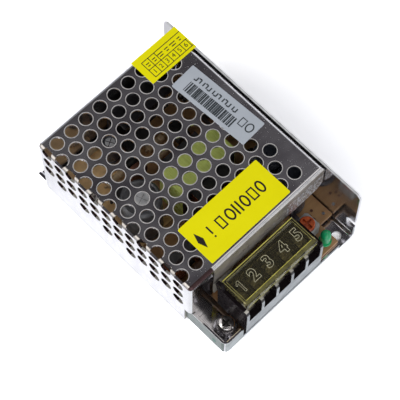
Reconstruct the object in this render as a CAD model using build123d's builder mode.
from build123d import *
import math
import os

os.makedirs("parts", exist_ok=True)

# Enclosed switching power supply for lighting strips, in millimetres.
# The origin is the middle of the underside. X runs across the case, Y from the
# terminals at the front to the back, Z up.

# Case
width = 58.0
length = 85.0
height = 31.0
sheet = 0.8
bend_radius = 1.0
lip_height = 9.5
low_lip_height = 3.2
lip_end_gap = 1.3
left_lip_back_gap = 6.5
wall_corner_cut = 1.2

# Perforated cover
cover_front_setback = 14.3
cover_back_setback = 3.9
cover_wall_gap = 0.4
cover_foot_gap = 0.5
flange_foot_gap = 0.3
cover_bend_radius = 0.6
right_flange_depth = 13.0
front_flange_depth = 12.4
front_flange_chamfer = 2.4
return_flange_width = 9.4
flange_side_gap = 0.5
slit_inner_drop = 4.4
slit_outer_drop = 1.9
lip_notch_length = 2.7
lip_notch_rise = 0.7

# Perforation, punched in staggered rows
hole_diameter = 4.3
hole_pitch = 5.95
row_pitch = 5.2
first_hole_inset = 4.5
first_row_inset = 4.2
last_hole_margin = 7.0
last_row_margin = 4.0
side_hole_drop = 1.7
side_hole_columns = 3

# Board and what carries it
board_thickness = 1.6
board_rise = 3.4
board_side_gap = 0.4
board_wall_gap = 0.3
board_back_gap = 0.8
board_front_gap = 0.9
board_ear_width = 5.4
board_ear_length = 7.8
board_tuck = 0.6
boss_top_radius = 3.2
boss_base_radius = 3.9
sheet_lining = 0.3
lining_gap = 0.6

# Small screws with a 3 mm thread
thread_radius = 1.45
tapped_radius = 1.5
clearance_radius = 1.6
pan_head_radius = 2.8
pan_head_height = 2.0
board_screw_length = 4.0
cover_screw_head_radius = 2.4
cover_screw_length = 2.6
screw_recess_width = 0.7
screw_recess_depth = 0.9

# Fixings through the case
base_hole_radius = 1.6
base_hole_side = 4.2
base_hole_front = 3.4
base_slot_side = 6.2
wall_slot_radius = 1.9
wall_slot_height = 9.9
wall_slot_inset = 1.5
cover_screw_front_inset = 14.0
cover_screw_back_inset = 17.5
cover_screw_drop = 6.5
earth_screw_side_gap = 2.6
earth_screw_front = 6.2

# Terminal block
ways = 5
way_pitch = 6.35
block_offset = -2.6
divider = 1.2
block_front_gap = 0.1
block_depth = 12.6
block_rear_wall = 1.8
cell_floor_rise = 6.2
divider_rise = 14.0
divider_shoulder = 2.6
divider_bevel = 0.5
skirt_depth = 0.6
skirt_drop = 1.5

# Screws, clamp plates and contacts of the terminals
contact_thickness = 0.8
contact_clearance = 0.15
contact_length = 7.4
contact_pin_radius = 0.5
contact_collar = 1.2
contact_collar_radius = 2.1
clamp_gap = 0.3
clamp_thickness = 0.9
clamp_length = 6.2
clamp_clearance = 0.2
clamp_hole_radius = 1.55
terminal_head_radius = 2.3
terminal_head_height = 2.0
terminal_shank_length = 5.6
running_clearance = 0.05
terminal_travel = 2.5
screw_setback = 6.1

# Clear flip cover over the terminals
lid_side_clearance = 0.2
lid_clearance = 0.3
lid_height = 2.0
lid_pocket = 0.8
lid_under_pocket = 0.4
lid_rim = 1.0
lid_front_rim = 1.8
lid_front_setback = 1.4
lid_pin_radius = 0.8
lid_pin_length = 1.0
lid_axis_rise = 0.7
lid_axis_inset = 0.8
lid_axis_from_rear = 0.6
ear_radius = 1.7

# Trimmer and indicator
trimmer_width = 6.2
trimmer_depth = 6.4
trimmer_height = 5.0
trimmer_gap = 0.8
trimmer_front = 7.2
rotor_radius = 2.6
rotor_clearance = 0.08
rotor_height = 1.9
rotor_recess = 1.1
rotor_slot = 0.8
pivot_radius = 0.8
led_radius = 1.75
led_flange_radius = 2.1
led_flange_height = 1.0
led_rise = 1.2
led_height = 6.6
led_lead_radius = 0.25
led_lead_spacing = 2.54
led_side = 3.4
led_front = 2.6
lead_tail = 0.6

# Layout of the board: positions as shares of the room under the cover, in percent
transformer_spot = (58.5, 46.1)
bulk_spot = (19.75, 50.15)
output_share = (8.9, 24.85)
bias_spot = (35.5, 86.35)
line_spot = (25.4, 9.8)
bridging_spot = (36.2, 69.0)
fuse_spot = (26.3, 3.2)
surge_spot = (71.4, 19.8)
filter_choke_spot = (18.7, 20.6)
bridge_spot = (48.2, 7.4)
drum_spot = (52.9, 21.5)
sink_spot = (62.0, 92.0)
transistor_share = 71.0
rectifier_share = 60.4
optocoupler_spot = (73.4, 73.0)
chip_spot = (52.9, 85.0)
resistor_spots = [
    (59.1, 69.9),
    (59.1, 76.4),
    (26.8, 76.4),
    (30.25, 95.4),
    (71.0, 12.1),
    (71.0, 2.15),
]
diode_spots = [(42.0, 77.0), (21.4, 68.7), (71.0, 7.2)]
board_screw_share = (9.8, 38.3, 77.0, 85.6)

# Paper labels
label_thickness = 0.12
caution_size = (33.0, 14.8)
caution_center = (-1.7, -19.0)
inspection_size = (9.8, 29.8)
inspection_center = (19.7, 9.6)
inspection_turn = 3.1
seal_size = (18.6, 9.9)
seal_drop = 6.0

# Positions that follow from the sizes above
x_left = -width / 2
x_right = width / 2
y_front = -length / 2
y_back = length / 2
lip_face = x_left + sheet
wall_face = x_right - sheet
outer_bend = bend_radius + sheet
cover_outer_bend = cover_bend_radius + sheet
cover_front = y_front + cover_front_setback
cover_back = y_back - cover_back_setback
cover_right = wall_face - cover_wall_gap
cover_inner_left = x_left + sheet
cover_inner_right = cover_right - sheet
cover_inner_front = cover_front + sheet
cover_inner_back = cover_back - sheet
return_edge = x_left + return_flange_width
board_bottom = board_rise
board_top = board_rise + board_thickness
block_front = y_front + block_front_gap
block_back = block_front + block_depth
block_width = ways * way_pitch + divider
block_left = block_offset - block_width / 2
block_right = block_offset + block_width / 2
cell_floor = board_top + cell_floor_rise
divider_top = board_top + divider_rise
block_rear_face = block_back - block_rear_wall
screw_y = block_front + screw_setback
contact_top = cell_floor + contact_thickness
clamp_bottom = contact_top + clamp_gap
clamp_top = clamp_bottom + clamp_thickness
head_bottom = clamp_top + running_clearance
lid_bottom = divider_top + lid_clearance
lid_top = lid_bottom + lid_height
lid_axis_z = lid_bottom + lid_axis_rise
lid_axis_y = block_back - lid_axis_from_rear
lid_rear = lid_axis_y + lid_axis_inset
lid_front = block_front + lid_front_setback
lid_left = block_left + divider + lid_side_clearance
lid_right = block_right - divider - lid_side_clearance
board_left = lip_face + sheet + board_side_gap
board_right = wall_face - board_wall_gap
board_back = cover_inner_back - board_back_gap
board_front = y_front + board_front_gap
board_ear_x = board_right - board_ear_width
board_ear_y = board_front + board_ear_length
bay_edge_x = block_left + board_tuck
bay_edge_y = cover_inner_front + flange_side_gap
earth_point = (block_left - earth_screw_side_gap, y_front + earth_screw_front)
front_base_hole = (x_right - base_hole_side, y_front + base_hole_front)
back_base_slot = (lip_face + base_slot_side, y_back - base_hole_radius)
board_screw_inset = 4.1
room_width = cover_inner_right - cover_inner_left
room_length = cover_inner_back - cover_inner_front
room_height = height - sheet - board_top
board_screw_points = []
for i, share in enumerate(board_screw_share):
    side_x = board_right - board_screw_inset if i % 2 else board_left + board_screw_inset
    board_screw_points.append((side_x, cover_inner_front + share * room_length / 100))
way_x = [block_offset + (i - (ways - 1) / 2) * way_pitch for i in range(ways)]
contact_pin_y = [screw_y - 2.9, screw_y + 2.9]
trimmer_x = block_right + trimmer_gap + trimmer_width / 2
trimmer_y = y_front + trimmer_front + trimmer_depth / 2
trimmer_top = board_top + trimmer_height
trimmer_pins = [
    (trimmer_x - 2.2, trimmer_y - 2.3),
    (trimmer_x + 2.2, trimmer_y - 2.3),
    (trimmer_x, trimmer_y + 2.4),
]
led_x = board_ear_x - led_side
led_y = board_front + led_front
led_leads_at = [
    (led_x, led_y - led_lead_spacing / 2),
    (led_x, led_y + led_lead_spacing / 2),
]
led_bottom = board_top + led_rise

# Parts on the board keep their proportions; the unit is about 1 mm and follows the room
unit = min(room_width / 55.2, room_length / 65.2, room_height / 25.2)


def spot(shares):
    """A point of the board from its shares of the room under the cover."""
    x = cover_inner_left + shares[0] * room_width / 100
    y = cover_inner_front + shares[1] * room_length / 100
    return x, y


# Transformer, an upright pair of E cores on a pinned bobbin, taped round the core
core_length = 22.4 * unit
core_depth = 10.0 * unit
core_height = 18.4 * unit
core_leg = 3.4 * unit
core_middle_leg = 7.0 * unit
core_rise = 0.8 * unit
core_joint = 0.02 * unit
bobbin_gap = 0.1 * unit
bobbin_wall = 0.7 * unit
bobbin_flange = 0.8 * unit
bobbin_reach = 4.0 * unit
bobbin_rail = 3.4 * unit
winding_round = 2.6 * unit
winding_gap = 0.4 * unit
tape_thickness = 0.2 * unit
transformer_x, transformer_y = spot(transformer_spot)

# Round capacitors
bulk_radius = 6.5 * unit
bulk_height = 21.0 * unit
output_radius = 5.0 * unit
output_height = 20.0 * unit
bias_radius = 2.8 * unit
bias_height = 12.0 * unit
can_groove = 0.5 * unit
can_edge = 0.8 * unit

# Heat sinks and the devices screwed to them
sink_thickness = 1.5 * unit
sink_height = 21.5 * unit
sink_flange = 9.0 * unit
sink_length = 22.0 * unit
plate_height = 15.0 * unit
plate_length = 18.0 * unit
plate_gap = 1.0 * unit
device_width = 10.0 * unit
device_depth = 4.4 * unit
device_height = 15.5 * unit
device_rise = 3.6 * unit
device_lead = 0.8 * unit
device_lead_pitch = 2.54 * unit
device_screw_drop = 2.9 * unit

# Input side
line_size = (9.4 * unit, 4.4 * unit, 11.0 * unit)
bridging_radius = 4.0 * unit
bridging_half = 1.6 * unit
surge_radius = 4.2 * unit
surge_half = 1.7 * unit
disc_lead_rise = 1.5 * unit
disc_lead_radius = 0.4 * unit
disc_lead_spread = 2.2 * unit
fuse_radius = 1.9 * unit
fuse_length = 8.0 * unit
fuse_lead_radius = 0.35 * unit
fuse_lead_reach = 1.0 * unit
choke_outer = 14.4 * unit
choke_window = 7.6 * unit
choke_half = 1.7 * unit
choke_foot = 1.2 * unit
coil_offset = 5.5 * unit
coil_size = (6.6 * unit, 7.6 * unit)
coil_bore = 3.5 * unit
coil_rise = 4.8 * unit
coil_height = 7.2 * unit
coil_lead_radius = 0.5 * unit
coil_lead_offset = 3.0 * unit
bridge_size = (14.5 * unit, 10.0 * unit)
bridge_half = 1.7 * unit
bridge_rise = 2.8 * unit
bridge_chamfer = 1.6 * unit
bridge_pitch = 3.8 * unit

# Output filter choke
drum_radius = 5.2 * unit
drum_neck = 2.4 * unit
drum_height = 13.0 * unit
drum_flange = 1.6 * unit
drum_winding = 4.9 * unit

# Control side
optocoupler_size = (4.6 * unit, 6.4 * unit, 3.6 * unit)
chip_size = (9.6 * unit, 6.4 * unit, 3.6 * unit)
chip_bevel = 0.4 * unit
resistor_half = 3.2 * unit
resistor_radius = 1.3 * unit
resistor_waist = 0.2 * unit
diode_length = 5.0 * unit
diode_radius = 1.4 * unit
axial_lead = 0.5 * unit
axial_lead_reach = 0.9 * unit


# Chassis: floor, tall right wall, left lip and stepped front lip
lip_end = block_left - lip_end_gap
with BuildPart() as chassis:
    with BuildSketch(Plane.XY):
        with Locations(((lip_face + x_right) / 2, outer_bend)):
            Rectangle(x_right - lip_face, length + 2 * outer_bend)
    extrude(amount=height)
    left_upright = chassis.edges().filter_by(Axis.Z).group_by(Axis.X)[0].sort_by(Axis.Y)[0]
    fillet(left_upright, radius=outer_bend)
    rear_face = chassis.faces().sort_by(Axis.Y)[-1]
    top_face = chassis.faces().sort_by(Axis.Z)[-1]
    low_edges = chassis.edges().group_by(Axis.Z)[0]
    rear_low_edge = low_edges.filter_by(Axis.X).sort_by(Axis.Y)[-1]
    fillet(low_edges - ShapeList([rear_low_edge]), radius=outer_bend)
    offset(
        amount=-sheet,
        openings=[chassis.faces().sort_by(Axis.Y)[-1], chassis.faces().sort_by(Axis.Z)[-1]],
    )
    # the shell is cut back to the floor's rear edge, so the back stays open
    with BuildSketch(Plane.XY):
        with Locations((0, y_back + 2 * outer_bend)):
            Rectangle(2 * width, 4 * outer_bend)
    extrude(amount=height, mode=Mode.SUBTRACT)
    # left lip, shorter than the floor
    with BuildSketch(Plane.YZ.offset(lip_face - 1)):
        with BuildLine():
            Polyline(
                (y_front - 1, lip_height),
                (y_back - left_lip_back_gap - lip_height / 2, lip_height),
                (y_back - left_lip_back_gap, outer_bend),
                (y_back + 1, outer_bend),
                (y_back + 1, height + 1),
                (y_front - 1, height + 1),
                close=True,
            )
        make_face()
    extrude(amount=outer_bend + 1, mode=Mode.SUBTRACT)
    # front lip: tall beside the bay, low under the terminals, none at the right
    with BuildSketch(Plane.XZ.offset(-y_front + 1)):
        with BuildLine():
            Polyline(
                (lip_face - 1, lip_height),
                (lip_end - 1, lip_height),
                (lip_end, lip_height - 1),
                (lip_end, low_lip_height),
                (board_ear_x, low_lip_height),
                (board_ear_x, -1),
                (x_right + 1, -1),
                (x_right + 1, height + 1),
                (lip_face - 1, height + 1),
                close=True,
            )
        make_face()
    extrude(amount=-(outer_bend + 1), mode=Mode.SUBTRACT)
    # flat floor and square wall end beside the terminals
    with BuildSketch(Plane.XZ.offset(-y_front)):
        with BuildLine():
            ear_path = FilletPolyline(
                (board_ear_x, 0),
                (x_right, 0),
                (x_right, height),
                radius=outer_bend,
            )
            offset(amount=sheet, side=Side.LEFT)
        make_face()
    extrude(amount=-outer_bend)
    # fixing hole at the floor's front corner and open slot at its back edge
    with BuildSketch(Plane.XY):
        with Locations(front_base_hole, back_base_slot):
            Circle(base_hole_radius)
        with Locations((back_base_slot[0], y_back)):
            Rectangle(2 * base_hole_radius, 2 * base_hole_radius)
    extrude(amount=2 * sheet, mode=Mode.SUBTRACT)
    # open slots at both ends of the wall, for fixing on its side
    with BuildSketch(Plane.YZ.offset(x_right)):
        for end in (y_front, y_back):
            inset = math.copysign(wall_slot_inset, end)
            with Locations((end - inset, wall_slot_height)):
                Circle(wall_slot_radius)
            with Locations((end, wall_slot_height)):
                Rectangle(2 * wall_slot_inset, 2 * wall_slot_radius)
    extrude(amount=-2 * sheet, mode=Mode.SUBTRACT)
    # countersunk holes for the cover's screws
    with Locations(
        Plane(
            origin=(x_right, y_back - cover_screw_back_inset, height - cover_screw_drop),
            z_dir=(1, 0, 0),
        ),
        Plane(
            origin=(x_right, cover_front + cover_screw_front_inset, height - cover_screw_drop),
            z_dir=(1, 0, 0),
        ),
    ):
        CounterSinkHole(clearance_radius, cover_screw_head_radius, depth=2 * sheet)
    # pressed bosses that carry the board and the earth screw
    with Locations(*[(x, y, sheet) for x, y in board_screw_points + [earth_point]]):
        Cone(
            boss_base_radius,
            boss_top_radius,
            board_rise - sheet,
            align=(Align.CENTER, Align.CENTER, Align.MIN),
        )
    with Locations(*[(x, y, 0) for x, y in board_screw_points + [earth_point]]):
        Cone(
            boss_base_radius - sheet / 2,
            boss_top_radius - sheet / 2,
            board_rise - sheet,
            align=(Align.CENTER, Align.CENTER, Align.MIN),
            mode=Mode.SUBTRACT,
        )
        Cylinder(tapped_radius, 3 * board_rise, mode=Mode.SUBTRACT)
    # small cut across the wall's front top corner
    wall_tip = chassis.edges().filter_by(Axis.X).group_by(Axis.Z)[-1]
    chamfer(wall_tip, length=wall_corner_cut)
chassis.part.label = "chassis"
export_step(chassis.part, "parts/chassis.step")


# Perforated cover: top, left wall and the flanges folded down from both
with BuildPart() as cover:
    with BuildSketch(Plane.XY.offset(cover_foot_gap)):
        with BuildLine():
            Polyline(
                (x_left, cover_front),
                (cover_right, cover_front),
                (cover_right, cover_back),
                (x_left, cover_back),
                close=True,
            )
        make_face()
    extrude(amount=height - cover_foot_gap)
    fillet(cover.edges().filter_by(Axis.Z).group_by(Axis.X)[0], radius=cover_outer_bend)
    fillet(cover.edges().group_by(Axis.Z)[-1], radius=cover_outer_bend)
    offset(amount=-sheet, openings=cover.faces().sort_by(Axis.Z)[0])
    # front: the opening below the top's flange and the slit beside it
    with BuildSketch(Plane.XZ.offset(-cover_front)):
        with BuildLine():
            Polyline(
                (return_edge, 0),
                (return_edge, height - slit_inner_drop),
                (x_left + cover_outer_bend, height - slit_outer_drop),
                (x_left + cover_outer_bend, height - cover_outer_bend),
                (return_edge + flange_side_gap, height - cover_outer_bend),
                (return_edge + flange_side_gap, height - front_flange_depth),
                (cover_right - front_flange_chamfer, height - front_flange_depth),
                (cover_right, height - front_flange_depth + front_flange_chamfer),
                (cover_right, 0),
                close=True,
            )
        make_face()
    extrude(amount=-sheet - cover_bend_radius, mode=Mode.SUBTRACT)
    # back: the same slit, with a full flange
    with BuildSketch(Plane.XZ.offset(-cover_back)):
        with BuildLine():
            Polyline(
                (return_edge, 0),
                (return_edge, height - slit_inner_drop),
                (x_left + cover_outer_bend, height - slit_outer_drop),
                (x_left + cover_outer_bend, height - cover_outer_bend),
                (return_edge + flange_side_gap, height - cover_outer_bend),
                (return_edge + flange_side_gap, 0),
                close=True,
            )
        make_face()
    extrude(amount=sheet + cover_bend_radius, mode=Mode.SUBTRACT)
    # the front and back flanges stop above the floor and its bend
    for flange_y, depth in ((cover_front, 2 * sheet), (cover_back, -2 * sheet)):
        with BuildSketch(Plane.XZ.offset(-flange_y)):
            with BuildLine():
                Polyline(
                    (x_left + sheet, 0),
                    (x_left + sheet, outer_bend + flange_foot_gap),
                    (x_left + sheet + outer_bend, outer_bend + flange_foot_gap),
                    (x_left + sheet + outer_bend, sheet + flange_foot_gap),
                    (cover_right, sheet + flange_foot_gap),
                    (cover_right, 0),
                    close=True,
                )
            make_face()
        extrude(amount=-depth, mode=Mode.SUBTRACT)
    # right flange, hidden inside the tall wall
    with BuildSketch(Plane.YZ.offset(cover_right)):
        with Locations(((cover_front + cover_back) / 2, (height - right_flange_depth) / 2)):
            Rectangle(
                cover_back - cover_front - 2 * cover_outer_bend,
                height - right_flange_depth,
            )
    extrude(amount=-sheet - cover_bend_radius, mode=Mode.SUBTRACT)
    # left wall and its front flange clear the chassis lip
    with BuildSketch(Plane.YZ.offset(x_left)):
        with Locations((cover_front, (lip_height + lip_notch_rise) / 2)):
            Rectangle(2 * lip_notch_length, lip_height + lip_notch_rise)
    extrude(amount=2 * sheet + board_side_gap, mode=Mode.SUBTRACT)
    # tapped holes in the right flange
    with Locations(
        Plane(
            origin=(cover_right, y_back - cover_screw_back_inset, height - cover_screw_drop),
            z_dir=(1, 0, 0),
        ),
        Plane(
            origin=(cover_right, cover_front + cover_screw_front_inset, height - cover_screw_drop),
            z_dir=(1, 0, 0),
        ),
    ):
        Hole(tapped_radius, depth=2 * sheet)
    # staggered perforation of the top, running over the left bend
    first_x = x_left + first_hole_inset
    first_y = cover_back - first_row_inset
    columns = int((cover_right - last_hole_margin - first_x - hole_pitch / 2) / hole_pitch) + 1
    rows = int((first_y - cover_front - last_row_margin) / row_pitch) + 1
    top_holes = []
    bend_holes = []
    for row in range(rows):
        y = first_y - row * row_pitch
        if row % 2 == 0:
            top_holes += [(first_x + i * hole_pitch, y) for i in range(columns)]
        else:
            bend_holes += [(first_x - hole_pitch / 2, y)]
            top_holes += [(first_x + (i + 0.5) * hole_pitch, y) for i in range(columns)]
    with BuildSketch(Plane.XY.offset(height)):
        with Locations(*top_holes):
            Circle(hole_diameter / 2)
    extrude(amount=-2 * sheet, mode=Mode.SUBTRACT)
    with BuildSketch(Plane.XY.offset(height)):
        with Locations(*bend_holes):
            Circle(hole_diameter / 2)
    extrude(amount=-cover_outer_bend, mode=Mode.SUBTRACT)
    # perforation of the left wall, with its first column in the bend
    wall_holes = []
    shoulder_holes = []
    for row in range(rows):
        y = first_y - row * row_pitch
        for column in range(side_hole_columns):
            z = height - side_hole_drop - (column + (row % 2) / 2) * hole_pitch
            if column == 0 and row % 2 == 0:
                shoulder_holes.append((y, z))
            else:
                wall_holes.append((y, z))
    with BuildSketch(Plane.YZ.offset(x_left)):
        with Locations(*wall_holes):
            Circle(hole_diameter / 2)
    extrude(amount=2 * sheet, mode=Mode.SUBTRACT)
    with BuildSketch(Plane.YZ.offset(x_left)):
        with Locations(*shoulder_holes):
            Circle(hole_diameter / 2)
    extrude(amount=cover_outer_bend, mode=Mode.SUBTRACT)
cover.part.label = "cover"
export_step(cover.part, "parts/cover.step")


# Flush screws that hold the cover's flange to the tall wall
with BuildPart() as cover_screws:
    for y in (y_back - cover_screw_back_inset, cover_front + cover_screw_front_inset):
        with BuildSketch(Plane.XY.offset(height - cover_screw_drop)):
            with BuildLine():
                Polyline(
                    (x_right, y),
                    (x_right, y + cover_screw_head_radius),
                    (x_right - cover_screw_head_radius + thread_radius, y + thread_radius),
                    (x_right - cover_screw_length, y + thread_radius),
                    (x_right - cover_screw_length, y),
                    close=True,
                )
            make_face()
        revolve(axis=Axis((0, y, height - cover_screw_drop), (1, 0, 0)))
        with BuildSketch(Plane.YZ.offset(x_right)):
            with Locations((y, height - cover_screw_drop)):
                Rectangle(screw_recess_width, 2 * thread_radius)
                Rectangle(2 * thread_radius, screw_recess_width)
        extrude(amount=-screw_recess_depth, mode=Mode.SUBTRACT)
cover_screws.part.label = "cover_screws"
export_step(cover_screws.part, "parts/cover_screws.step")


# Insulating film on the floor below the board
with BuildPart() as insulating_sheet:
    with BuildSketch(Plane.XY.offset(sheet)):
        with BuildLine():
            Polyline(
                (board_left + lining_gap, bay_edge_y + lining_gap),
                (bay_edge_x + lining_gap, bay_edge_y + lining_gap),
                (bay_edge_x + lining_gap, board_front + lining_gap + bend_radius),
                (board_ear_x - lining_gap, board_front + lining_gap + bend_radius),
                (board_ear_x - lining_gap, board_ear_y),
                (board_right - lining_gap - bend_radius, board_ear_y),
                (board_right - lining_gap - bend_radius, board_back),
                (board_left + lining_gap, board_back),
                close=True,
            )
        make_face()
        with Locations(*board_screw_points, earth_point):
            Rectangle(
                2 * (boss_base_radius + lining_gap) + 0.4,
                2 * (boss_base_radius + lining_gap) + 0.4,
                mode=Mode.SUBTRACT,
            )
    extrude(amount=sheet_lining)
insulating_sheet.part.label = "insulating_sheet"
export_step(insulating_sheet.part, "parts/insulating_sheet.step")


# Circuit board, stepped round the bay and the front fixing hole
with BuildPart() as circuit_board:
    with BuildSketch(Plane.XY.offset(board_bottom)):
        with BuildLine():
            Polyline(
                (board_left, board_back),
                (board_right, board_back),
                (board_right, board_ear_y),
                (board_ear_x, board_ear_y),
                (board_ear_x, board_front),
                (bay_edge_x, board_front),
                (bay_edge_x, bay_edge_y),
                (board_left, bay_edge_y),
                close=True,
            )
        make_face()
        with Locations(*board_screw_points):
            Circle(clearance_radius, mode=Mode.SUBTRACT)
        with Locations(*[(x, y) for x in way_x for y in contact_pin_y]):
            Circle(contact_pin_radius, mode=Mode.SUBTRACT)
        with Locations(*trimmer_pins):
            Circle(led_lead_radius, mode=Mode.SUBTRACT)
        with Locations(*led_leads_at):
            Circle(led_lead_radius, mode=Mode.SUBTRACT)
    extrude(amount=board_thickness)
circuit_board.part.label = "circuit_board"
export_step(circuit_board.part, "parts/circuit_board.step")


# Pan screws that hold the board, and the earthing screw beside the terminals
pan_screw_sets = [
    ("board_screws", board_screw_points, board_top, board_screw_length),
    ("earth_screw", [earth_point], board_bottom, board_rise - sheet),
]
for name, points, seat, shank_length in pan_screw_sets:
    with BuildPart() as pan_screws:
        for x, y in points:
            with BuildSketch(Plane.XZ.offset(-y)):
                with BuildLine():
                    Polyline(
                        (x, seat - shank_length),
                        (x + thread_radius, seat - shank_length),
                        (x + thread_radius, seat),
                        (x + pan_head_radius, seat),
                        (x + pan_head_radius, seat + pan_head_height * 0.45),
                        (x + pan_head_radius * 0.86, seat + pan_head_height * 0.8),
                        (x + pan_head_radius * 0.5, seat + pan_head_height),
                        (x, seat + pan_head_height),
                        close=True,
                    )
                make_face()
            revolve(axis=Axis((x, y, 0), (0, 0, 1)))
            with BuildSketch(Plane.XY.offset(seat + pan_head_height)):
                with Locations((x, y)):
                    Rectangle(screw_recess_width, pan_head_radius * 1.1)
                    Rectangle(pan_head_radius * 1.1, screw_recess_width)
            extrude(amount=-screw_recess_depth, mode=Mode.SUBTRACT)
    pan_screws.part.label = name
    export_step(pan_screws.part, f"parts/{name}.step")


# Terminal block: one moulding with dividers, hinge ears and a front skirt
with BuildPart() as terminal_block:
    with BuildSketch(Plane.YZ.offset(block_left)):
        with BuildLine():
            Polyline(
                (block_front, board_top - skirt_drop),
                (block_front, cell_floor),
                (block_rear_face, cell_floor),
                (block_rear_face, divider_top - lid_axis_rise + 0.1),
                (block_back, divider_top - lid_axis_rise + 0.1),
                (block_back, board_top),
                (block_front + skirt_depth, board_top),
                (block_front + skirt_depth, board_top - skirt_drop),
                close=True,
            )
        make_face()
    extrude(amount=block_width)
    for i in range(ways + 1):
        divider_x = block_left + i * way_pitch
        with BuildSketch(Plane.YZ.offset(divider_x)):
            with BuildLine():
                Polyline(
                    (block_front, cell_floor),
                    (block_front, divider_top - divider_shoulder),
                    (block_front + divider_bevel, divider_top),
                    (block_rear_face, divider_top),
                    (block_rear_face, cell_floor),
                    close=True,
                )
            make_face()
        extrude(amount=divider)
        if i in (0, ways):
            with BuildSketch(Plane.YZ.offset(divider_x)):
                with BuildLine():
                    Polyline(
                        (lid_axis_y - ear_radius, cell_floor),
                        (lid_axis_y - ear_radius, lid_axis_z),
                        (lid_axis_y + ear_radius, lid_axis_z),
                        (block_back, divider_top - 2 * ear_radius),
                        (block_back, cell_floor),
                        close=True,
                    )
                make_face()
                with Locations((lid_axis_y, lid_axis_z)):
                    Circle(ear_radius)
            extrude(amount=divider)
    with BuildSketch(Plane.YZ.offset(block_left)):
        with Locations((lid_axis_y, lid_axis_z)):
            Circle(lid_pin_radius + running_clearance)
    extrude(amount=block_width, mode=Mode.SUBTRACT)
    # wells for the contacts' threaded collars and holes for their pins
    with BuildSketch(Plane.XY.offset(cell_floor)):
        with Locations(*[(x, screw_y) for x in way_x]):
            Circle(contact_collar_radius + contact_clearance)
    extrude(amount=-(terminal_shank_length - contact_thickness), mode=Mode.SUBTRACT)
    with BuildSketch(Plane.XY.offset(cell_floor)):
        with Locations(*[(x, y) for x in way_x for y in contact_pin_y]):
            Circle(contact_pin_radius)
    extrude(amount=-(cell_floor - board_top), mode=Mode.SUBTRACT)
terminal_block.part.label = "terminal_block"
export_step(terminal_block.part, "parts/terminal_block.step")


# Tinned contacts, one in each way, pinned through to the board
contact_width = way_pitch - divider - 2 * contact_clearance
with BuildPart() as terminal_contacts:
    with BuildSketch(Plane.XY.offset(cell_floor)):
        with Locations(*[(x, screw_y) for x in way_x]):
            Rectangle(contact_width, contact_length)
    extrude(amount=contact_thickness)
    with BuildSketch(Plane.XY.offset(cell_floor)):
        with Locations(*[(x, screw_y) for x in way_x]):
            Circle(contact_collar_radius)
    extrude(amount=-contact_collar)
    with BuildSketch(Plane.XY.offset(contact_top)):
        with Locations(*[(x, screw_y) for x in way_x]):
            Circle(tapped_radius)
    extrude(amount=-contact_thickness - contact_collar, mode=Mode.SUBTRACT)
    with BuildSketch(Plane.XY.offset(cell_floor)):
        with Locations(*[(x, y) for x in way_x for y in contact_pin_y]):
            Circle(contact_pin_radius)
    extrude(amount=-(cell_floor - board_bottom + lead_tail))
terminal_contacts.part.label = "terminal_contacts"
export_step(terminal_contacts.part, "parts/terminal_contacts.step")


# Each way's clamp plate rises with its screw
clamp_width = way_pitch - divider - 2 * clamp_clearance
for i in range(ways):
    with BuildPart() as clamp_plate:
        with BuildSketch(Plane.YZ.offset(way_x[i] - clamp_width / 2)):
            with BuildLine():
                half = clamp_length / 2
                Polyline(
                    (screw_y - half, clamp_bottom),
                    (screw_y - half + clamp_thickness, clamp_bottom),
                    (screw_y - half + clamp_thickness * 1.5, clamp_bottom + clamp_thickness / 3),
                    (screw_y + half - clamp_thickness * 1.5, clamp_bottom + clamp_thickness / 3),
                    (screw_y + half - clamp_thickness, clamp_bottom),
                    (screw_y + half, clamp_bottom),
                    (screw_y + half, clamp_top),
                    (screw_y - half, clamp_top),
                    close=True,
                )
            make_face()
        extrude(amount=clamp_width)
        with Locations((way_x[i], screw_y, clamp_top)):
            Hole(clamp_hole_radius, depth=2 * clamp_thickness)
    clamp_plate.part.label = f"clamp_plate_{i + 1}"
    export_step(clamp_plate.part, f"parts/clamp_plate_{i + 1}.step")

    with BuildPart() as terminal_screw:
        with BuildSketch(Plane.XZ.offset(-screw_y)):
            with BuildLine():
                Polyline(
                    (way_x[i], head_bottom - terminal_shank_length),
                    (way_x[i] + thread_radius - 0.3, head_bottom - terminal_shank_length),
                    (way_x[i] + thread_radius, head_bottom - terminal_shank_length + 0.3),
                    (way_x[i] + thread_radius, head_bottom),
                    (way_x[i] + terminal_head_radius, head_bottom),
                    (way_x[i] + terminal_head_radius, head_bottom + terminal_head_height - 0.5),
                    (way_x[i] + terminal_head_radius - 0.5, head_bottom + terminal_head_height),
                    (way_x[i], head_bottom + terminal_head_height),
                    close=True,
                )
            make_face()
        revolve(axis=Axis((way_x[i], screw_y, 0), (0, 0, 1)))
        with BuildSketch(Plane.XY.offset(head_bottom + terminal_head_height)):
            with Locations((way_x[i], screw_y)):
                Rectangle(2 * terminal_head_radius + 1, screw_recess_width)
                Rectangle(screw_recess_width, terminal_head_radius * 1.3)
        extrude(amount=-screw_recess_depth, mode=Mode.SUBTRACT)
    terminal_screw.part.label = f"terminal_screw_{i + 1}"
    export_step(terminal_screw.part, f"parts/terminal_screw_{i + 1}.step")


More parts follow.
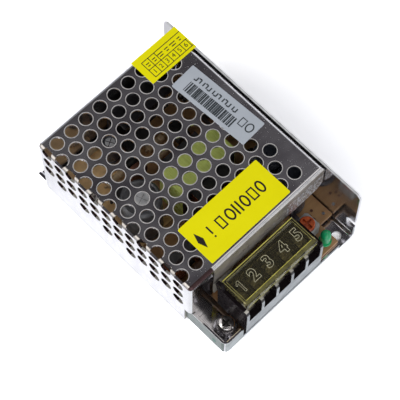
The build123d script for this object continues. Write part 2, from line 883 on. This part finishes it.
# Clear flip cover with a raised rim, pinned in the block's ears
with BuildPart() as terminal_cover:
    with BuildSketch(Plane.XY.offset(lid_bottom)):
        with Locations(((lid_left + lid_right) / 2, (lid_front + lid_rear) / 2)):
            Rectangle(lid_right - lid_left, lid_rear - lid_front)
    extrude(amount=lid_height)
    fillet(terminal_cover.edges().filter_by(Axis.X).group_by(Axis.Z)[-1], radius=0.35)
    with BuildSketch(Plane.XY.offset(lid_top)):
        with Locations(
            ((lid_left + lid_right) / 2, (lid_front + lid_front_rim + lid_rear - lid_rim) / 2)
        ):
            RectangleRounded(
                lid_right - lid_left - 2 * lid_rim,
                lid_rear - lid_rim - lid_front - lid_front_rim,
                0.6,
            )
    extrude(amount=-lid_pocket, mode=Mode.SUBTRACT)
    with BuildSketch(Plane.XY.offset(lid_bottom)):
        with Locations(
            ((lid_left + lid_right) / 2, (lid_front + lid_rim + lid_axis_y - ear_radius) / 2)
        ):
            RectangleRounded(
                lid_right - lid_left - 2 * lid_rim,
                lid_axis_y - ear_radius - lid_front - lid_rim,
                0.6,
            )
    extrude(amount=lid_under_pocket, mode=Mode.SUBTRACT)
    with BuildSketch(Plane.YZ.offset(lid_left - lid_side_clearance - lid_pin_length)):
        with Locations((lid_axis_y, lid_axis_z)):
            Circle(lid_pin_radius)
    extrude(amount=lid_right - lid_left + 2 * (lid_side_clearance + lid_pin_length))
terminal_cover.part.label = "terminal_cover"
export_step(terminal_cover.part, "parts/terminal_cover.step")


# Output trimmer: moulded body and slotted rotor
with BuildPart() as trimmer_body:
    with BuildSketch(Plane.XY.offset(board_top)):
        with Locations((trimmer_x, trimmer_y)):
            Rectangle(trimmer_width, trimmer_depth)
    extrude(amount=trimmer_height)
    chamfer(trimmer_body.edges().filter_by(Axis.Z), length=0.7)
    chamfer(trimmer_body.faces().sort_by(Axis.Z)[-1].edges(), length=0.3)
    with BuildSketch(Plane.XY.offset(trimmer_top)):
        with Locations((trimmer_x, trimmer_y)):
            Circle(rotor_radius + rotor_clearance)
    extrude(amount=-rotor_recess, mode=Mode.SUBTRACT)
    with BuildSketch(Plane.XY.offset(trimmer_top)):
        with Locations((trimmer_x, trimmer_y)):
            Circle(pivot_radius + running_clearance)
    extrude(amount=-rotor_recess - 2.2, mode=Mode.SUBTRACT)
    with BuildSketch(Plane.XY.offset(board_top)):
        with Locations(*trimmer_pins):
            Circle(led_lead_radius)
    extrude(amount=-(board_thickness + lead_tail))
trimmer_body.part.label = "trimmer_body"
export_step(trimmer_body.part, "parts/trimmer_body.step")

rotor_bottom = trimmer_top - rotor_recess + 2 * running_clearance
with BuildPart() as trimmer_rotor:
    with BuildSketch(Plane.XY.offset(rotor_bottom)):
        with Locations((trimmer_x, trimmer_y)):
            Circle(rotor_radius)
    extrude(amount=rotor_height)
    chamfer(trimmer_rotor.faces().sort_by(Axis.Z)[-1].edges(), length=0.3)
    with BuildSketch(Plane.XY.offset(rotor_bottom)):
        with Locations((trimmer_x, trimmer_y)):
            Circle(pivot_radius)
    extrude(amount=-2.0)
    with BuildSketch(Plane.XY.offset(rotor_bottom + rotor_height)):
        with Locations((trimmer_x, trimmer_y)):
            Rectangle(rotor_radius * 1.5, rotor_slot)
            Rectangle(rotor_slot, rotor_radius * 1.5)
    extrude(amount=-0.9, mode=Mode.SUBTRACT)
trimmer_rotor.part.label = "trimmer_rotor"
export_step(trimmer_rotor.part, "parts/trimmer_rotor.step")


# Indicator lamp and its two leads
with BuildPart() as indicator_led:
    with BuildSketch(Plane.XZ.offset(-led_y)):
        with BuildLine():
            Polyline(
                (led_x, led_bottom),
                (led_x + led_flange_radius, led_bottom),
                (led_x + led_flange_radius, led_bottom + led_flange_height),
                (led_x + led_radius, led_bottom + led_flange_height),
                (led_x + led_radius, led_bottom + led_height - led_radius),
            )
            dome = RadiusArc(
                (led_x + led_radius, led_bottom + led_height - led_radius),
                (led_x, led_bottom + led_height),
                -led_radius,
            )
            Line(dome @ 1, (led_x, led_bottom))
        make_face()
    revolve(axis=Axis((led_x, led_y, 0), (0, 0, 1)))
indicator_led.part.label = "indicator_led"
export_step(indicator_led.part, "parts/indicator_led.step")

with BuildPart() as led_leads:
    with BuildSketch(Plane.XY.offset(led_bottom)):
        with Locations(*led_leads_at):
            Circle(led_lead_radius)
    extrude(amount=-(led_rise + board_thickness + lead_tail))
led_leads.part.label = "led_leads"
export_step(led_leads.part, "parts/led_leads.step")


# Transformer: ferrite halves, bobbin, winding and the tape round the core
core_bottom = board_top + core_rise
core_middle = core_bottom + core_height / 2
window_width = core_length / 2 - core_leg - core_middle_leg / 2
window_height = core_height - 2 * core_leg
window_middle = core_middle_leg / 2 + window_width / 2
bobbin_tube = core_middle_leg / 2 + bobbin_gap + bobbin_wall
bobbin_tube_depth = core_depth / 2 + bobbin_gap + bobbin_wall
flange_half = core_middle_leg / 2 + window_width - bobbin_gap
flange_half_depth = core_depth / 2 + bobbin_reach
flange_height = window_height - 2 * bobbin_gap
with BuildPart() as transformer_core:
    for side in (-1, 1):
        with BuildSketch(Plane.XZ.offset(-transformer_y)):
            with Locations((transformer_x, core_middle + side * core_height / 4)):
                Rectangle(core_length, core_height / 2 - core_joint)
            with Locations(
                (transformer_x - window_middle, core_middle + side * window_height / 4),
                (transformer_x + window_middle, core_middle + side * window_height / 4),
            ):
                Rectangle(window_width, window_height / 2, mode=Mode.SUBTRACT)
        extrude(amount=core_depth / 2, both=True)
transformer_core.part.label = "transformer_core"
export_step(transformer_core.part, "parts/transformer_core.step")

with BuildPart() as transformer_bobbin:
    with Locations((transformer_x, transformer_y, core_middle)):
        Box(2 * bobbin_tube, 2 * bobbin_tube_depth, flange_height)
    for side in (-1, 1):
        flange_z = core_middle + side * (flange_height / 2 - bobbin_flange / 2)
        with Locations((transformer_x, transformer_y, flange_z)):
            Box(2 * flange_half, 2 * flange_half_depth, bobbin_flange)
        rail_y = transformer_y + side * (flange_half_depth - bobbin_rail / 2)
        with Locations((transformer_x, rail_y, board_top)):
            Box(
                2 * flange_half,
                bobbin_rail,
                core_rise + core_leg + bobbin_flange,
                align=(Align.CENTER, Align.CENTER, Align.MIN),
            )
    with Locations((transformer_x, transformer_y, core_middle)):
        Box(
            core_middle_leg + 2 * bobbin_gap,
            core_depth + 2 * bobbin_gap,
            core_height,
            mode=Mode.SUBTRACT,
        )
transformer_bobbin.part.label = "transformer_bobbin"
export_step(transformer_bobbin.part, "parts/transformer_bobbin.step")

with BuildPart() as transformer_winding:
    with BuildSketch(Plane.XY.offset(core_middle)):
        with Locations((transformer_x, transformer_y)):
            RectangleRounded(
                2 * (flange_half - winding_gap),
                2 * (flange_half_depth - winding_gap),
                winding_round,
            )
            Rectangle(2 * bobbin_tube, 2 * bobbin_tube_depth, mode=Mode.SUBTRACT)
    extrude(amount=flange_height / 2 - bobbin_flange, both=True)
transformer_winding.part.label = "transformer_winding"
export_step(transformer_winding.part, "parts/transformer_winding.step")

with BuildPart() as transformer_tape:
    with BuildSketch(Plane.XZ.offset(-transformer_y)):
        with Locations((transformer_x, core_middle)):
            RectangleRounded(
                core_length + 2 * tape_thickness,
                core_height + 2 * tape_thickness,
                tape_thickness,
            )
            Rectangle(core_length, core_height, mode=Mode.SUBTRACT)
    extrude(amount=core_depth / 2, both=True)
transformer_tape.part.label = "transformer_tape"
export_step(transformer_tape.part, "parts/transformer_tape.step")


# Round capacitors, each with its rolled groove and a rounded top edge
output_x = cover_inner_right - output_radius - plate_gap
output_points = [(output_x, spot((0, share))[1]) for share in output_share]
can_sets = [
    ("bulk_capacitor", [spot(bulk_spot)], bulk_radius, bulk_height),
    ("output_capacitors", output_points, output_radius, output_height),
    ("bias_capacitor", [spot(bias_spot)], bias_radius, bias_height),
]
for name, points, radius, tall in can_sets:
    with BuildPart() as can_capacitors:
        for x, y in points:
            with BuildSketch(Plane.XZ.offset(-y)):
                with BuildLine():
                    Polyline(
                        (x, board_top),
                        (x + radius - can_groove, board_top),
                        (x + radius, board_top + can_groove),
                        (x + radius, board_top + 4 * can_groove),
                        (x + radius - can_groove, board_top + 5 * can_groove),
                        (x + radius, board_top + 6 * can_groove),
                        (x + radius, board_top + tall - can_edge),
                        (x + radius - can_edge, board_top + tall),
                        (x + radius - 1.6 * can_edge, board_top + tall - 0.4 * can_edge),
                        (x, board_top + tall - 0.4 * can_edge),
                        close=True,
                    )
                make_face()
            revolve(axis=Axis((x, y, 0), (0, 0, 1)))
    can_capacitors.part.label = name
    export_step(can_capacitors.part, f"parts/{name}.step")

line_x, line_y = spot(line_spot)
with BuildPart() as line_capacitor:
    with Locations((line_x, line_y, board_top)):
        Box(*line_size, align=(Align.CENTER, Align.CENTER, Align.MIN))
    fillet(line_capacitor.edges().filter_by(Axis.Z), radius=can_edge)
    fillet(line_capacitor.faces().sort_by(Axis.Z)[-1].edges(), radius=can_groove)
line_capacitor.part.label = "line_capacitor"
export_step(line_capacitor.part, "parts/line_capacitor.step")

disc_sets = [
    ("bridging_capacitor", spot(bridging_spot), bridging_radius, bridging_half),
    ("surge_limiter", spot(surge_spot), surge_radius, surge_half),
]
for name, place, radius, half in disc_sets:
    x, y = place
    with BuildPart() as disc_part:
        with BuildSketch(Plane.XZ.offset(-y)):
            with Locations((x, board_top + disc_lead_rise + radius)):
                Circle(radius)
        extrude(amount=half, both=True)
        fillet(disc_part.edges().filter_by(GeomType.CIRCLE), radius=half * 0.6)
        for side in (-1, 1):
            with Locations((x + side * disc_lead_spread, y, board_top)):
                Cylinder(
                    disc_lead_radius,
                    disc_lead_rise + radius * 0.6,
                    align=(Align.CENTER, Align.CENTER, Align.MIN),
                )
    disc_part.part.label = name
    export_step(disc_part.part, f"parts/{name}.step")


# Input side: fuse, filter choke and bridge
fuse_x, fuse_y = spot(fuse_spot)
fuse_z = board_top + fuse_radius + axial_lead / 4
with BuildPart() as fuse:
    with BuildSketch(Plane.YZ.offset(fuse_x)):
        with Locations((fuse_y, fuse_z)):
            Circle(fuse_radius)
    extrude(amount=fuse_length / 2, both=True)
    for side in (-1, 1):
        with Locations((fuse_x + side * (fuse_length / 2 + fuse_lead_reach), fuse_y, board_top)):
            Cylinder(
                fuse_lead_radius,
                fuse_z - board_top + fuse_lead_radius,
                align=(Align.CENTER, Align.CENTER, Align.MIN),
            )
    with BuildSketch(Plane.YZ.offset(fuse_x)):
        with Locations((fuse_y, fuse_z)):
            Circle(fuse_lead_radius * 0.7)
    extrude(amount=fuse_length / 2 + fuse_lead_reach, both=True)
fuse.part.label = "fuse"
export_step(fuse.part, "parts/fuse.step")

choke_x, choke_y = spot(filter_choke_spot)
choke_z = board_top + choke_foot + choke_outer / 2
with BuildPart() as filter_choke_core:
    with BuildSketch(Plane.XZ.offset(-choke_y)):
        with Locations((choke_x, choke_z)):
            RectangleRounded(choke_outer, choke_outer, 1.0 * unit)
            Rectangle(choke_window, choke_window, mode=Mode.SUBTRACT)
    extrude(amount=choke_half, both=True)
filter_choke_core.part.label = "filter_choke_core"
export_step(filter_choke_core.part, "parts/filter_choke_core.step")

with BuildPart() as filter_choke_windings:
    with BuildSketch(Plane.XY.offset(board_top + coil_rise)):
        for side in (-1, 1):
            with Locations((choke_x + side * coil_offset, choke_y)):
                RectangleRounded(*coil_size, 1.4 * unit)
                Rectangle(coil_bore, coil_bore, mode=Mode.SUBTRACT)
    extrude(amount=coil_height)
    with BuildSketch(Plane.XY.offset(board_top)):
        for side in (-1, 1):
            for end in (-1, 1):
                with Locations((choke_x + side * coil_offset, choke_y + end * coil_lead_offset)):
                    Circle(coil_lead_radius)
    extrude(amount=coil_rise + coil_lead_radius)
filter_choke_windings.part.label = "filter_choke_windings"
export_step(filter_choke_windings.part, "parts/filter_choke_windings.step")

bridge_x, bridge_y = spot(bridge_spot)
with BuildPart() as bridge_rectifier:
    with BuildSketch(Plane.XZ.offset(-bridge_y)):
        with Locations((bridge_x, board_top + bridge_rise + bridge_size[1] / 2)):
            Rectangle(*bridge_size)
    extrude(amount=bridge_half, both=True)
    chamfer(
        bridge_rectifier.edges().filter_by(Axis.Y).sort_by(Axis.Z)[-1],
        length=bridge_chamfer,
    )
    for i in range(4):
        with Locations((bridge_x + (i - 1.5) * bridge_pitch, bridge_y, board_top)):
            Box(
                device_lead,
                device_lead,
                bridge_rise + axial_lead,
                align=(Align.CENTER, Align.CENTER, Align.MIN),
            )
bridge_rectifier.part.label = "bridge_rectifier"
export_step(bridge_rectifier.part, "parts/bridge_rectifier.step")


# Output filter choke: drum core and its winding
drum_x, drum_y = spot(drum_spot)
drum_top = board_top + drum_height
with BuildPart() as output_choke_core:
    with BuildSketch(Plane.XZ.offset(-drum_y)):
        with BuildLine():
            Polyline(
                (drum_x, board_top),
                (drum_x + drum_radius, board_top),
                (drum_x + drum_radius, board_top + drum_flange),
                (drum_x + drum_neck, board_top + drum_flange),
                (drum_x + drum_neck, drum_top - drum_flange),
                (drum_x + drum_radius, drum_top - drum_flange),
                (drum_x + drum_radius, drum_top),
                (drum_x, drum_top),
                close=True,
            )
        make_face()
    revolve(axis=Axis((drum_x, drum_y, 0), (0, 0, 1)))
output_choke_core.part.label = "output_choke_core"
export_step(output_choke_core.part, "parts/output_choke_core.step")

with BuildPart() as output_choke_winding:
    with BuildSketch(Plane.XY.offset(board_top + drum_flange)):
        with Locations((drum_x, drum_y)):
            Circle(drum_winding)
            Circle(drum_neck, mode=Mode.SUBTRACT)
    extrude(amount=drum_height - 2 * drum_flange)
output_choke_winding.part.label = "output_choke_winding"
export_step(output_choke_winding.part, "parts/output_choke_winding.step")


# Folded heat sink of the switching transistor, standing along the back
sink_top = board_top + sink_height
sink_x, sink_face = spot(sink_spot)
sink_back = sink_face + sink_thickness
transistor_x = spot((transistor_share, 0))[0]
device_screw_z = board_top + device_rise + device_height - device_screw_drop
with BuildPart() as transistor_heatsink:
    with BuildSketch(Plane.YZ.offset(sink_x)):
        with BuildLine():
            FilletPolyline(
                (sink_back, board_top),
                (sink_back, sink_top),
                (sink_back - sink_flange, sink_top),
                radius=sink_thickness * 1.35,
            )
            offset(amount=sink_thickness, side=Side.LEFT)
        make_face()
    extrude(amount=sink_length / 2, both=True)
    with BuildSketch(Plane.XZ.offset(-sink_face)):
        with Locations((transistor_x, device_screw_z)):
            Circle(tapped_radius)
    extrude(amount=-sink_thickness, mode=Mode.SUBTRACT)
transistor_heatsink.part.label = "transistor_heatsink"
export_step(transistor_heatsink.part, "parts/transistor_heatsink.step")

# Plain heat sink plate of the output rectifier, beside the tall wall
plate_x = cover_inner_right - plate_gap - sink_thickness
rectifier_y = spot((0, rectifier_share))[1]
with BuildPart() as rectifier_heatsink:
    with BuildSketch(Plane.YZ.offset(plate_x)):
        with Locations((rectifier_y, board_top + (plate_height + device_rise) / 2)):
            Rectangle(plate_length, plate_height + device_rise)
        with Locations((rectifier_y, device_screw_z)):
            Circle(tapped_radius, mode=Mode.SUBTRACT)
    extrude(amount=sink_thickness)
rectifier_heatsink.part.label = "rectifier_heatsink"
export_step(rectifier_heatsink.part, "parts/rectifier_heatsink.step")

# Flat power packages screwed to the heat sinks
device_sets = [
    ("switching_transistor", Plane(origin=(transistor_x, sink_face, 0), z_dir=(0, -1, 0))),
    ("output_rectifier", Plane(origin=(plate_x, rectifier_y, 0), z_dir=(-1, 0, 0))),
]
device_base = board_top + device_rise
for name, seat in device_sets:
    across = Vector(0, 0, 1).cross(seat.z_dir)
    face = Plane(origin=seat.origin, x_dir=across, z_dir=seat.z_dir)
    with BuildPart() as power_device:
        with BuildSketch(face):
            with Locations((0, device_base + device_height / 2)):
                Rectangle(device_width, device_height)
            with Locations((0, device_screw_z)):
                Circle(tapped_radius, mode=Mode.SUBTRACT)
        extrude(amount=device_depth)
        with BuildSketch(face.offset(device_depth / 2 - device_lead / 2)):
            with Locations(*[(i * device_lead_pitch, board_top + device_rise / 2) for i in (-1, 0, 1)]):
                Rectangle(device_lead, device_rise)
        extrude(amount=device_lead)
    power_device.part.label = name
    export_step(power_device.part, f"parts/{name}.step")

with BuildPart() as device_screws:
    for name, seat in device_sets:
        across = Vector(0, 0, 1).cross(seat.z_dir)
        face = Plane(origin=seat.origin, x_dir=across, z_dir=seat.z_dir)
        with BuildSketch(face.offset(-sink_thickness)):
            with Locations((0, device_screw_z)):
                Circle(thread_radius)
        extrude(amount=sink_thickness + device_depth)
        with BuildSketch(face.offset(device_depth)):
            with Locations((0, device_screw_z)):
                Circle(pan_head_radius)
        extrude(amount=pan_head_height)
device_screws.part.label = "device_screws"
export_step(device_screws.part, "parts/device_screws.step")


# Control side: optocoupler, controller and axial parts
package_sets = [
    ("optocoupler", spot(optocoupler_spot), optocoupler_size),
    ("controller_chip", spot(chip_spot), chip_size),
]
for name, place, size in package_sets:
    with BuildPart() as package:
        with Locations((*place, board_top)):
            Box(*size, align=(Align.CENTER, Align.CENTER, Align.MIN))
        chamfer(package.faces().sort_by(Axis.Z)[-1].edges(), length=chip_bevel)
    package.part.label = name
    export_step(package.part, f"parts/{name}.step")

with BuildPart() as resistors:
    for place in resistor_spots:
        x, y = spot(place)
        axis_z = board_top + resistor_radius
        with BuildSketch(Plane.XZ.offset(-y)):
            with BuildLine():
                Polyline(
                    (x - resistor_half, axis_z),
                    (x - resistor_half, axis_z + resistor_radius),
                    (x - resistor_half * 0.6, axis_z + resistor_radius),
                    (x - resistor_half * 0.5, axis_z + resistor_radius - resistor_waist),
                    (x + resistor_half * 0.5, axis_z + resistor_radius - resistor_waist),
                    (x + resistor_half * 0.6, axis_z + resistor_radius),
                    (x + resistor_half, axis_z + resistor_radius),
                    (x + resistor_half, axis_z),
                    close=True,
                )
            make_face()
        revolve(axis=Axis((x, y, axis_z), (1, 0, 0)))
        for side in (-1, 1):
            with Locations((x + side * (resistor_half + axial_lead_reach / 2), y, board_top)):
                Box(
                    axial_lead_reach + axial_lead / 5,
                    axial_lead,
                    resistor_radius + axial_lead / 2,
                    align=(Align.CENTER, Align.CENTER, Align.MIN),
                )
resistors.part.label = "resistors"
export_step(resistors.part, "parts/resistors.step")

with BuildPart() as diodes:
    for place in diode_spots:
        x, y = spot(place)
        with BuildSketch(Plane.YZ.offset(x - diode_length / 2)):
            with Locations((y, board_top + diode_radius)):
                Circle(diode_radius)
        extrude(amount=diode_length)
        for side in (-1, 1):
            with Locations((x + side * (diode_length + axial_lead_reach) / 2, y, board_top)):
                Box(
                    axial_lead_reach + axial_lead / 5,
                    axial_lead,
                    diode_radius + axial_lead / 2,
                    align=(Align.CENTER, Align.CENTER, Align.MIN),
                )
diodes.part.label = "diodes"
export_step(diodes.part, "parts/diodes.step")


# Paper labels on the cover
with BuildPart() as caution_label:
    with BuildSketch(Plane.XY.offset(height)):
        with Locations(caution_center):
            RectangleRounded(caution_size[0], caution_size[1], 0.4)
    extrude(amount=label_thickness)
caution_label.part.label = "caution_label"
export_step(caution_label.part, "parts/caution_label.step")

with BuildPart() as inspection_label:
    with BuildSketch(Plane.XY.offset(height)):
        with Locations(Location((*inspection_center, 0), inspection_turn)):
            RectangleRounded(inspection_size[0], inspection_size[1], 0.4)
    extrude(amount=label_thickness)
inspection_label.part.label = "inspection_label"
export_step(inspection_label.part, "parts/inspection_label.step")

# The seal bridges the gap to the tall wall and folds down its outer face
with BuildPart() as seal_label:
    with BuildSketch(Plane.XZ.offset(-cover_back + seal_size[1])):
        with BuildLine():
            Polyline(
                (x_right - seal_size[0], height),
                (x_right, height),
                (x_right, height - seal_drop),
                (x_right + label_thickness, height - seal_drop),
                (x_right + label_thickness, height + label_thickness),
                (x_right - seal_size[0], height + label_thickness),
                close=True,
            )
        make_face()
    extrude(amount=-seal_size[1])
seal_label.part.label = "seal_label"
export_step(seal_label.part, "parts/seal_label.step")
